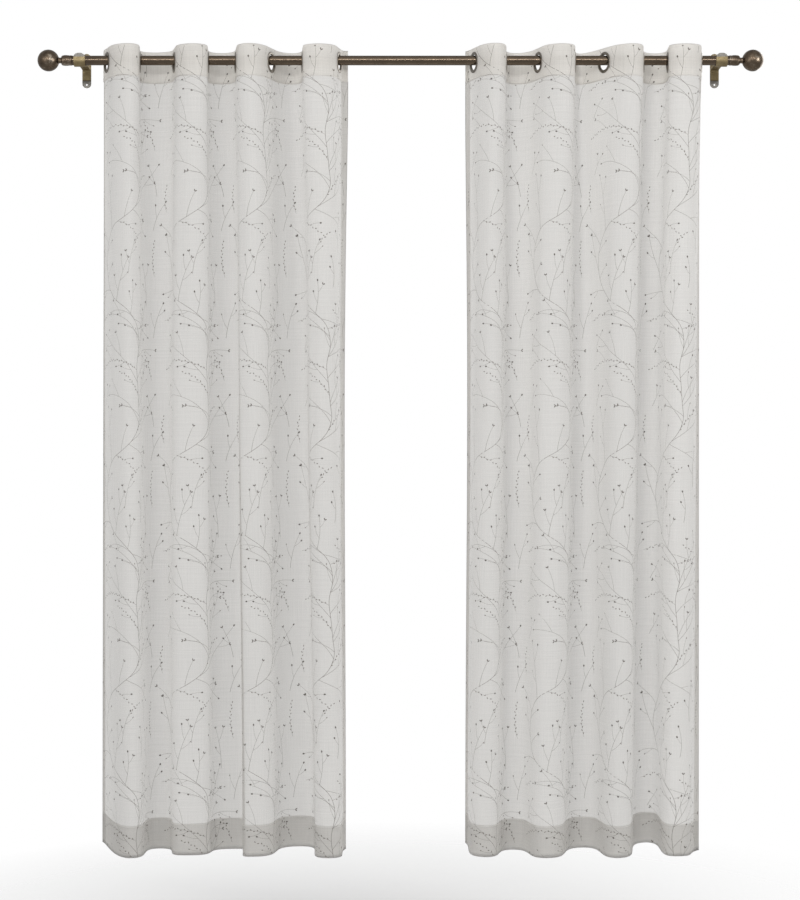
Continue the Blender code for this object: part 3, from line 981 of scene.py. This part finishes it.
def voile_finish(name, settings, opacity, glow_share, whiter):
    """Plain woven voile: light passes between the threads and glows through them."""
    finish = Finish(name)
    cloth = finish.cloth_place()
    axes = finish.tree.nodes.new("ShaderNodeSeparateXYZ")
    finish.tree.links.new(cloth.socket, axes.inputs[0])
    turns = 2.0 * math.pi / settings.thread_pitch
    across = (Wire(finish, axes.outputs["X"]) * turns).math("SINE")
    down = (Wire(finish, axes.outputs["Y"]) * turns).math("SINE")
    weave = across.math("MAXIMUM", down)
    # slubs: threads that run thicker for a while
    warp = finish.noise(finish.scaled(cloth, (900.0, 9.0, 1.0)), 1.0, 2.0)
    weft = finish.noise(finish.scaled(cloth, (7.0, 800.0, 1.0)), 1.0, 2.0)
    slubs = warp + weft - 1.0
    soft = finish.noise(cloth, 5.0, 2.0)
    cover = (weave * 0.10 + slubs * 0.16 + opacity).limited(0.05, 1.0)
    # a whiter factor above 1 gives a brighter copy of the same voile, which is painted light
    colour = tuple(whiter * value for value in settings.voile_colour)
    bright = tuple(min(1.0, 1.04 * value) for value in colour)
    dull = tuple(0.94 * value for value in colour)
    tint = finish.mixed((soft + slubs * 0.3).limited(0.0, 1.0), dull, bright)
    normal = finish.bump(weave * 0.5 + slubs, 0.00012, 0.6)
    threads = finish.node("ShaderNodeBsdfPrincipled", {},
                          {"Base Color": tint, "Roughness": 0.82, "Sheen Weight": 0.10,
                           "Sheen Roughness": 0.5, "Normal": normal})
    glow = finish.node("ShaderNodeBsdfTranslucent", {}, {"Color": tint, "Normal": normal})
    lit = finish.node("ShaderNodeMixShader", {}, {0: glow_share, 1: threads, 2: glow})
    shade = settings.shade
    clear = finish.node("ShaderNodeBsdfTransparent", {}, {"Color": (shade, shade, shade, 1.0)})
    return finish.close(finish.node("ShaderNodeMixShader", {}, {0: cover, 1: clear, 2: lit}))


def ink_finish(settings):
    """Printed pigment, a little uneven where it sank between the threads."""
    finish = Finish("twig print")
    tone = finish.node("ShaderNodeAttribute", {"attribute_name": "ink"}, {}, "Fac")
    spread = finish.noise(finish.place(), 160.0, 3.0, 0.6)
    colour = finish.mixed((tone + spread * 0.5 - 0.25).limited(0.0, 1.0),
                          settings.ink_pale, settings.ink_dark)
    cover = (tone * 0.32 + spread * 0.5 + 0.36).limited(0.3, 0.97)
    pigment = finish.node("ShaderNodeBsdfPrincipled", {},
                          {"Base Color": colour, "Roughness": 0.85, "Alpha": cover})
    return finish.close(pigment)


def thread_finish(settings):
    finish = Finish("sewing thread")
    twist = finish.node("ShaderNodeTexWave", {"bands_direction": "DIAGONAL"},
                        {"Vector": finish.place(), "Scale": 900.0, "Distortion": 1.0})
    colour = settings.voile_colour
    dull = tuple(0.88 * value for value in colour)
    tint = finish.mixed(twist, dull, tuple(1.08 * value for value in colour))
    return finish.close(finish.node("ShaderNodeBsdfPrincipled", {},
                                    {"Base Color": tint, "Roughness": 0.7,
                                     "Normal": finish.bump(twist, 0.0001, 0.5)}))


def aged_metal(name, colour, worn, dark, roughness, mottle_scale, mottle, painted_light_end=None):
    """Metal darkened with age: mottled, rubbed brighter in patches and finely scratched. On the
    wall plate the dark colour is painted shade.

    A pale end, which is painted light, is (height, span): from that height the metal goes over to
    the worn colour."""
    finish = Finish(name)
    place = finish.place()
    patches = finish.noise(place, mottle_scale, 5.0, 0.62)
    specks = finish.noise(place, mottle_scale * 7.0, 3.0, 0.6)
    scratches = finish.noise(finish.scaled(place, (60.0, 900.0, 900.0)), 1.0, 3.0, 0.7)
    rubbed = (patches - 0.5) * mottle + (specks - 0.5) * 0.3 * mottle + 0.5
    rubbed = rubbed.limited(0.0, 1.0)
    base = finish.mixed(rubbed, dark, colour)
    # rubbed patches take the worn colour, and so does the painted light end below
    bare_and_lit = (rubbed - 0.66) * 2.4
    # painted light: past the given height the metal goes over to the pale colour
    if painted_light_end is not None:
        axes = finish.tree.nodes.new("ShaderNodeSeparateXYZ")
        finish.tree.links.new(place.socket, axes.inputs[0])
        height, span = painted_light_end
        bare_and_lit = bare_and_lit.math("MAXIMUM", 0.0) + ((Wire(finish, axes.outputs["Z"]) - height) / span
                                            ).limited(0.0, 1.0)
    tint = finish.mixed(bare_and_lit.limited(0.0, 1.0), base, worn)
    rough = (roughness + (0.5 - patches) * 0.30 + (scratches - 0.5) * 0.14).limited(0.16, 0.8)
    normal = finish.bump(specks * 0.6 + scratches * 0.4, 0.00025, 0.5)
    return finish.close(finish.node("ShaderNodeBsdfPrincipled", {},
                                    {"Base Color": tint, "Metallic": 1.0, "Roughness": rough,
                                     "Normal": normal}))


def floor_finish(settings):
    """A pale floor that fades out with distance, so that it meets the white room softly."""
    finish = Finish("pale floor")
    away = finish.node("ShaderNodeVectorMath", {"operation": "LENGTH"},
                       (finish.scaled(finish.place(), (1.0, 1.0, 0.0)),), 1)
    near = (1.2 - away * 0.7).limited(0.0, 1.0)
    solid = finish.node("ShaderNodeBsdfPrincipled", {},
                        {"Base Color": (*settings.floor_colour, 1.0), "Roughness": 0.9})
    clear = finish.node("ShaderNodeBsdfTransparent", {}, {"Color": (1.0, 1.0, 1.0, 1.0)})
    return finish.close(finish.node("ShaderNodeMixShader", {}, {0: near, 1: clear, 2: solid}))


# ---------------------------------------------------------------- operators

class CURTAIN_OT_panels(bpy.types.Operator):
    """Cut, hem and hang the two panels of voile below their headings"""

    bl_idname = "curtain.panels"
    bl_label = "Hang Panels"

    def execute(self, context):
        settings = context.scene.curtain_cloth
        material = voile_finish("voile", settings, settings.opacity, 0.42, 1.0)
        for side in ("left", "right"):
            cloth = HungCloth(side)
            across = self.spaced(settings)
            start = HEADING_DEPTH - PANEL_TUCK
            fall_rows = np.linspace(start, CLOTH_FALL, settings.rows + 1)
            hem_rows = CLOTH_FALL + np.linspace(0.0, settings.hem_depth, HEM_ROWS + 1)[1:]
            shape = laid_grid(across, np.concatenate((fall_rows, hem_rows)))
            mark_cloth_map(shape)
            turn_in(shape, settings)
            panel = new_piece(f"voile_panel_{side}", shape)
            cloth.hang_mesh(panel.data)
            dress(panel, material, [f"panel_{side}"])
        return {"FINISHED"}

    @staticmethod
    def spaced(settings):
        """Columns with both side edges among them, and the turnings outside."""
        turning = np.linspace(0.0, settings.side_hem, SIDE_HEM_COLUMNS + 1)[1:]
        middle = np.linspace(0.0, CLOTH_WIDTH, settings.columns + 1)
        return np.concatenate((-turning[::-1], middle, CLOTH_WIDTH + turning))


class CURTAIN_OT_headings(bpy.types.Operator):
    """Fold the doubled strips along the tops of the panels and cut their eyelet holes"""

    bl_idname = "curtain.headings"
    bl_label = "Fold Headings"

    def execute(self, context):
        settings = context.scene.curtain_cloth
        # the heading's whiter factor of 1.20 is painted light: it lifts the doubled voile out of
        # the shade that the rod and the folds cast on it
        material = voile_finish("doubled voile", settings, 0.74, 0.50, 1.20)
        across = np.linspace(-HEADING_TURNING, CLOTH_WIDTH + HEADING_TURNING, HEADING_COLUMNS + 1)
        down = np.linspace(-HEADING_DEPTH, HEADING_DEPTH, HEADING_ROWS + 1)
        for side in ("left", "right"):
            cloth = HungCloth(side)
            shape = laid_grid(across, down)
            mark_cloth_map(shape)
            self.cut_holes(shape)
            for vertex in shape.verts:
                vertex.co = self.folded(vertex.co)
            heading = new_piece(f"doubled_heading_{side}", shape)
            cloth.hang_mesh(heading.data)
            dress(heading, material, [f"heading_{side}"])
        return {"FINISHED"}

    @staticmethod
    def cut_holes(shape):
        """Opens a round hole for each eyelet in both layers of the flat strip."""
        centres = []
        for number in range(EYELETS):
            for layer in (-1.0, 1.0):
                centres.append((END_ALLOWANCE + EYELET_PITCH * number,
                                layer * (HEADING_TOP + EYELET_DROP)))
        gone = []
        for face in shape.faces:
            middle = face.calc_center_median()
            if any(math.hypot(middle.x - x, middle.y - y) < HOLE_CLEAR for x, y in centres):
                gone.append(face)
        bmesh.ops.delete(shape, geom=gone, context="FACES")
        for vertex in shape.verts:
            for x, y in centres:
                away = math.hypot(vertex.co.x - x, vertex.co.y - y)
                if vertex.is_boundary and away < HOLE_CLEAR + 0.004:
                    vertex.co.x = x + (vertex.co.x - x) * HOLE_RADIUS / away
                    vertex.co.y = y + (vertex.co.y - y) * HOLE_RADIUS / away

    @staticmethod
    def folded(place):
        """Folds the strip over its top edge and its turnings in between the layers."""
        across, down = place.x, abs(place.y)
        round_off = max(0.0, 1.0 - down / HEADING_FOLD)
        # the layers close up where they are sewn together
        pinch = 0.35 + 0.65 * min(1.0, (HEADING_DEPTH - down) / 0.006)
        raised = 0.5 * HEADING_THICK * math.sqrt(1.0 - round_off ** 2) * pinch
        if not 0.0 <= across <= CLOTH_WIDTH:
            across = -across if across < 0.0 else 2.0 * CLOTH_WIDTH - across
            raised *= 0.4
        return (across, down, math.copysign(raised, place.y))


class CURTAIN_OT_print(bpy.types.Operator):
    """Print the wandering twigs on panels and headings"""

    bl_idname = "curtain.print"
    bl_label = "Print Twigs"

    def execute(self, context):
        settings = context.scene.curtain_cloth
        material = ink_finish(settings)
        tile = TwigPrint(settings).to_mesh()
        right = CLOTH_WIDTH - PRINT_MARGIN
        for side in ("left", "right"):
            cloth = HungCloth(side)
            shape = lay_repeats(tile, settings, (PRINT_MARGIN, HEADING_DEPTH + 0.001),
                                (right, CLOTH_FALL - PRINT_MARGIN))
            self.finish_print(cloth, shape, PRINT_LIFT, f"panel_print_{side}", material)
            shape = lay_repeats(tile, settings, (PRINT_MARGIN, PRINT_MARGIN + 0.003),
                                (right, HEADING_DEPTH))
            self.clear_eyelets(shape)
            self.finish_print(cloth, shape, PRINT_LIFT + 0.5 * HEADING_THICK,
                              f"heading_print_{side}", material)
        bpy.data.meshes.remove(tile)
        return {"FINISHED"}

    @staticmethod
    def clear_eyelets(shape):
        gone = []
        for vertex in shape.verts:
            for number in range(EYELETS):
                away = math.hypot(vertex.co.x - END_ALLOWANCE - EYELET_PITCH * number,
                                  vertex.co.y - HEADING_TOP - EYELET_DROP)
                if away < PRINT_OFF_EYELET:
                    gone.append(vertex)
                    break
        bmesh.ops.delete(shape, geom=gone, context="VERTS")

    @staticmethod
    def finish_print(cloth, shape, lift, name, material):
        for vertex in shape.verts:
            vertex.co.z = lift
        # the flat cloth is measured downwards, which turns the drawing over
        bmesh.ops.reverse_faces(shape, faces=shape.faces)
        piece = new_piece(name, shape)
        cloth.hang_mesh(piece.data)
        dress(piece, material)


class CURTAIN_OT_stitching(bpy.types.Operator):
    """Sew the hems and the headings"""

    bl_idname = "curtain.stitching"
    bl_label = "Sew Stitches"

    def execute(self, context):
        settings = context.scene.curtain_cloth
        material = thread_finish(settings)
        side_line = settings.side_hem - SEAM_INSET
        hem_line = CLOTH_FALL - settings.hem_depth + SEAM_INSET
        hem = self.sew((0.002, hem_line), (CLOTH_WIDTH - 0.002, hem_line), 0.0, settings)
        sides = [self.sew((across, HEADING_DEPTH + 0.004), (across, CLOTH_FALL - 0.004), 0.0,
                          settings) for across in (side_line, CLOTH_WIDTH - side_line)]
        down = HEADING_DEPTH - SEAM_INSET
        top = self.sew((0.002, down), (CLOTH_WIDTH - 0.002, down), 0.35 * HEADING_THICK, settings)
        for side in ("left", "right"):
            cloth = HungCloth(side)
            self.finish_sewing(cloth, (hem, *sides), f"panel_stitching_{side}", material)
            self.finish_sewing(cloth, (top,), f"heading_stitching_{side}", material)
        for line in (hem, *sides, top):
            bpy.data.meshes.remove(line)
        return {"FINISHED"}

    @staticmethod
    def sew(start, end, face, settings):
        """A straight line of stitches on the flat cloth, from start to end."""
        start, end = Vector(start), Vector(end)
        run = end - start
        count = round(run.length / settings.stitch_length)
        pitch = run.length / count
        along = []
        for number in range(count):
            along += [pitch * number, pitch * (number + STITCH_COVER)]
        shape = laid_grid(along, (-0.5 * THREAD_THICK, 0.5 * THREAD_THICK))
        gaps = [item for item in shape.faces
                if item.calc_center_median().x % pitch > STITCH_COVER * pitch]
        bmesh.ops.delete(shape, geom=gaps, context="FACES")
        bmesh.ops.solidify(shape, geom=shape.faces[:], thickness=THREAD_THICK)
        laid = (Matrix.Translation((start.x, start.y, face + 0.8 * THREAD_THICK))
                @ Matrix.Rotation(math.atan2(run.y, run.x), 4, "Z"))
        bmesh.ops.transform(shape, matrix=laid, verts=shape.verts)
        line = bpy.data.meshes.new("line of stitches")
        shape.to_mesh(line)
        shape.free()
        return line

    @staticmethod
    def finish_sewing(cloth, lines, name, material):
        shape = bmesh.new()
        for line in lines:
            shape.from_mesh(line)
        bmesh.ops.recalc_face_normals(shape, faces=shape.faces)
        piece = new_piece(name, shape, smooth=False)
        cloth.hang_mesh(piece.data)
        piece.data.flip_normals()
        dress(piece, material)


class CURTAIN_OT_eyelets(bpy.types.Operator):
    """Turn the eyelet rings and set them in the headings"""

    bl_idname = "curtain.eyelets"
    bl_label = "Set Eyelets"

    def execute(self, context):
        metal = context.scene.curtain_metal
        material = aged_metal("aged nickel", metal.aged_nickel, (0.66, 0.63, 0.58),
                              (0.13, 0.115, 0.095), 0.34, 120.0, 1.5)
        back = [(radius, -height) for radius, height in EYELET_OUTLINE[-2:0:-1]]
        outline = list(EYELET_OUTLINE) + back
        for side, eyelets in (("left", EYELETS_LEFT), ("right", EYELETS_RIGHT)):
            for number, (along, lean) in enumerate(eyelets, start=1):
                shape = turned(outline, metal.round_steps, True)
                placed = (Matrix.Translation((along, ROD_Y, -EYELET_DROP))
                          @ Matrix.Rotation(math.radians(lean), 4, "Z")
                          @ Matrix.Rotation(0.5 * math.pi, 4, "Y"))
                bmesh.ops.transform(shape, matrix=placed, verts=shape.verts)
                ring = new_piece(f"eyelet_{side}_{number}", shape)
                sharpen(ring, 50.0)
                dress(ring, material, [f"ring_{side}_{number}"])
        return {"FINISHED"}


class CURTAIN_OT_rod(bpy.types.Operator):
    """Draw the rod and turn its two ball finials"""

    bl_idname = "curtain.rod"
    bl_label = "Make Rod and Finials"

    def execute(self, context):
        metal = context.scene.curtain_metal
        worn, dark = (0.48, 0.43, 0.36), (0.070, 0.050, 0.035)
        rod_brass = aged_metal("rod brass", metal.aged_brass, worn, dark, 0.20, 30.0, 0.6)
        ball_brass = aged_metal("ball brass", metal.aged_brass, worn, dark, 0.33, 60.0, 1.9)
        half, wall, chamfer = 0.5 * ROD_LENGTH, 0.0010, 0.0003
        inner = ROD_RADIUS - wall
        tube = [(ROD_RADIUS, half - chamfer), (ROD_RADIUS, -half + chamfer),
                (ROD_RADIUS - chamfer, -half), (inner, -half), (inner, half),
                (ROD_RADIUS - chamfer, half)]
        rod = self.along_rod(tube, metal.round_steps, True, 1.0, 0.0, "curtain_rod")
        dress(rod, rod_brass, ["rod"])
        for side, sign in (("left", -1.0), ("right", 1.0)):
            finial = self.along_rod(finial_outline(), metal.round_steps, False, sign,
                                    sign * half, f"ball_finial_{side}")
            dress(finial, ball_brass, [f"finial_{side}"])
        return {"FINISHED"}

    @staticmethod
    def along_rod(outline, steps, closed, sign, start, name):
        shape = turned(outline, steps, closed)
        placed = (Matrix.Translation((start, ROD_Y, 0.0))
                  @ Matrix.Rotation(sign * 0.5 * math.pi, 4, "Y"))
        bmesh.ops.transform(shape, matrix=placed, verts=shape.verts)
        piece = new_piece(name, shape)
        sharpen(piece, 35.0)
        return piece


class CURTAIN_OT_brackets(bpy.types.Operator):
    """Bend the bracket straps and cut their wall plates"""

    bl_idname = "curtain.brackets"
    bl_label = "Make Brackets"

    def execute(self, context):
        metal = context.scene.curtain_metal
        brass = metal.bracket_brass
        # pale grey: the colour of rubbed patches, and also painted light on the strap's tip and
        # the plate's lower lug
        pale = (0.21, 0.20, 0.182)
        # above 6 mm over the rod's axis the strap goes over to pale grey: a painted highlight on
        # the cradle's rounded tip
        strap_brass_painted_highlight = aged_metal("bracket brass", brass, pale, (0.17, 0.125, 0.065), 0.50,
                                 60.0, 1.2, (0.0060, 0.0030))
        # the plate's near-black dark colour is painted shade from the arm in front of it; below 32
        # mm under the rod's axis it goes over to pale grey, painted light on the lower lug
        plate_brass_painted_shade_and_light = aged_metal("plate brass", brass, pale, (0.040, 0.030, 0.020), 0.50,
                                 70.0, 1.6, (-0.0320, -0.0020))
        for side, sign in (("left", -1.0), ("right", 1.0)):
            strap = self.bent_strap(f"bracket_strap_{side}", sign)
            dress(strap, strap_brass_painted_highlight, [f"bracket_arm_{side}"])
            plate = self.wall_plate(f"wall_plate_{side}", sign)
            dress(plate, plate_brass_painted_shade_and_light, [f"bracket_plate_{side}"])
        return {"FINISHED"}

    @staticmethod
    def bent_strap(name, sign):
        rows = strap_rows()
        shares = np.linspace(-1.0, 1.0, 9)
        shape = laid_grid(shares, range(len(rows)))
        for vertex in shape.verts:
            behind, above, half_width = rows[round(vertex.co.y)]
            vertex.co = (sign * BRACKET_X + vertex.co.x * half_width, ROD_Y + behind, above)
        strap = new_piece(name, shape)
        solid = strap.modifiers.new("thickness", "SOLIDIFY")
        solid.thickness = STRAP_THICK
        solid.offset = 0.0
        solid.use_even_offset = True
        soften(strap, 0.0006, 3)
        return strap

    @staticmethod
    def wall_plate(name, sign):
        """A flat plate with round ends and two screw holes, its back face on the wall."""
        shape = bmesh.new()
        low, high = PLATE_LOW.z + PLATE_HALF_WIDTH, PLATE_HIGH.z - PLATE_HALF_WIDTH
        end_steps = 24
        corners = []
        for middle, start in ((high, 0.0), (low, math.pi)):
            for step in range(end_steps + 1):
                angle = start + math.pi * step / end_steps
                corners.append(shape.verts.new((PLATE_HALF_WIDTH * math.cos(angle), 0.0,
                                                middle + PLATE_HALF_WIDTH * math.sin(angle))))
        edges = [shape.edges.new(pair) for pair in zip(corners, corners[1:] + corners[:1])]
        stand = Matrix.Rotation(0.5 * math.pi, 4, "X")
        for height in (PLATE_HIGH.z - SCREW_INSET, PLATE_LOW.z + SCREW_INSET):
            hole = bmesh.ops.create_circle(shape, segments=24, radius=SCREW_HOLE_RADIUS,
                                           matrix=Matrix.Translation((0, 0, height)) @ stand)
            edges += list({edge for vertex in hole["verts"] for edge in vertex.link_edges})
        bmesh.ops.triangle_fill(shape, use_beauty=True, edges=edges)
        raised = bmesh.ops.extrude_face_region(shape, geom=shape.faces[:])
        front = [item for item in raised["geom"] if isinstance(item, bmesh.types.BMVert)]
        bmesh.ops.translate(shape, verts=front, vec=(0.0, -PLATE_THICK, 0.0))
        bmesh.ops.translate(shape, verts=shape.verts, vec=(sign * BRACKET_X, PLATE_HIGH.y, 0.0))
        bmesh.ops.recalc_face_normals(shape, faces=shape.faces)
        plate = new_piece(name, shape)
        sharpen(plate, 35.0)
        soften(plate, 0.0005, 3)
        return plate


class CURTAIN_OT_stage(bpy.types.Operator):
    """Set the camera, the soft lights, the pale floor and the white room"""

    bl_idname = "curtain.stage"
    bl_label = "Set Stage"

    def execute(self, context):
        settings = context.scene.curtain_stage
        self.set_camera(context.scene, settings)
        self.lay_floor(settings)
        for name, place, aim_height, size in LIGHTS:
            self.hang_light(name, place, aim_height, size, getattr(settings, f"{name}_power"))
        self.light_room(context.scene, settings)
        context.scene.view_settings.view_transform = "Standard"
        return {"FINISHED"}

    @staticmethod
    def set_camera(scene, settings):
        data = bpy.data.cameras.new("camera")
        data.lens = settings.lens
        data.sensor_width = 36.0
        camera = bpy.data.objects.new("camera", data)
        camera.location = (CAMERA_ALONG, ROD_Y - settings.distance, settings.height)
        camera.rotation_euler = (0.5 * math.pi, 0.0, 0.0)
        scene.collection.objects.link(camera)
        scene.camera = camera

    @staticmethod
    def lay_floor(settings):
        shape = bmesh.new()
        bmesh.ops.create_circle(shape, cap_ends=True, segments=96, radius=FLOOR_RADIUS)
        bmesh.ops.translate(shape, verts=shape.verts,
                            vec=(0.0, ROD_Y, CLOTH_BOTTOM - settings.floor_drop))
        floor = new_piece("pale_floor", shape, smooth=False)
        floor.data.materials.append(floor_finish(settings))

    @staticmethod
    def hang_light(name, place, aim_height, size, power):
        data = bpy.data.lights.new(f"{name} light", "AREA")
        data.shape = "RECTANGLE"
        data.size, data.size_y = size
        data.energy = power
        light = bpy.data.objects.new(f"{name} light", data)
        light.location = (place[0], ROD_Y + place[1], place[2])
        light.visible_camera = False
        away = Vector((0.0, ROD_Y, aim_height)) - light.location
        light.rotation_euler = away.to_track_quat("-Z", "Y").to_euler()
        bpy.context.scene.collection.objects.link(light)

    @staticmethod
    def light_room(scene, settings):
        """Even light from all round, in front of a room that shows as plain white."""
        world = bpy.data.worlds.new("room")
        world.use_nodes = True
        tree = world.node_tree
        air = tree.nodes["Background"]
        air.inputs["Color"].default_value = (1.0, 1.0, 1.0, 1.0)
        air.inputs["Strength"].default_value = settings.room_light
        white = tree.nodes.new("ShaderNodeBackground")
        white.inputs["Color"].default_value = (1.0, 1.0, 1.0, 1.0)
        seen = tree.nodes.new("ShaderNodeLightPath")
        chosen = tree.nodes.new("ShaderNodeMixShader")
        tree.links.new(seen.outputs["Is Camera Ray"], chosen.inputs[0])
        tree.links.new(air.outputs[0], chosen.inputs[1])
        tree.links.new(white.outputs[0], chosen.inputs[2])
        tree.links.new(chosen.outputs[0], tree.nodes["World Output"].inputs["Surface"])
        scene.world = world


class CURTAIN_PT_sidebar(bpy.types.Panel):
    """The curtain's settings and the steps that make it"""

    bl_idname = "CURTAIN_PT_sidebar"
    bl_label = "Sheer Curtains"
    bl_space_type = "VIEW_3D"
    bl_region_type = "UI"
    bl_category = "Curtains"

    def draw(self, context):
        for group in (context.scene.curtain_cloth, context.scene.curtain_metal,
                      context.scene.curtain_stage):
            box = self.layout.box()
            for name in group.__annotations__:
                box.prop(group, name)
        for step in STEPS:
            self.layout.operator(step.bl_idname)


SETTINGS = {
    "curtain_cloth": CurtainClothSettings,
    "curtain_metal": CurtainMetalSettings,
    "curtain_stage": CurtainStageSettings,
}
# In making order: the print and the stitching are made before the headings and the panels.
STEPS = (
    CURTAIN_OT_rod,
    CURTAIN_OT_brackets,
    CURTAIN_OT_eyelets,
    CURTAIN_OT_print,
    CURTAIN_OT_stitching,
    CURTAIN_OT_headings,
    CURTAIN_OT_panels,
    CURTAIN_OT_stage,
)


def register():
    for group in (*SETTINGS.values(), *STEPS, CURTAIN_PT_sidebar):
        bpy.utils.register_class(group)
    for name, group in SETTINGS.items():
        setattr(bpy.types.Scene, name, PointerProperty(type=group))


def unregister():
    for name in SETTINGS:
        delattr(bpy.types.Scene, name)
    for group in (CURTAIN_PT_sidebar, *reversed(STEPS), *SETTINGS.values()):
        bpy.utils.unregister_class(group)


def corners(bounds):
    return [[float(value) for value in corner] for corner in bounds]


def main():
    register()
    for step in STEPS:
        family, name = step.bl_idname.split(".")
        getattr(getattr(bpy.ops, family), name)()


if __name__ == "__main__":
    main()
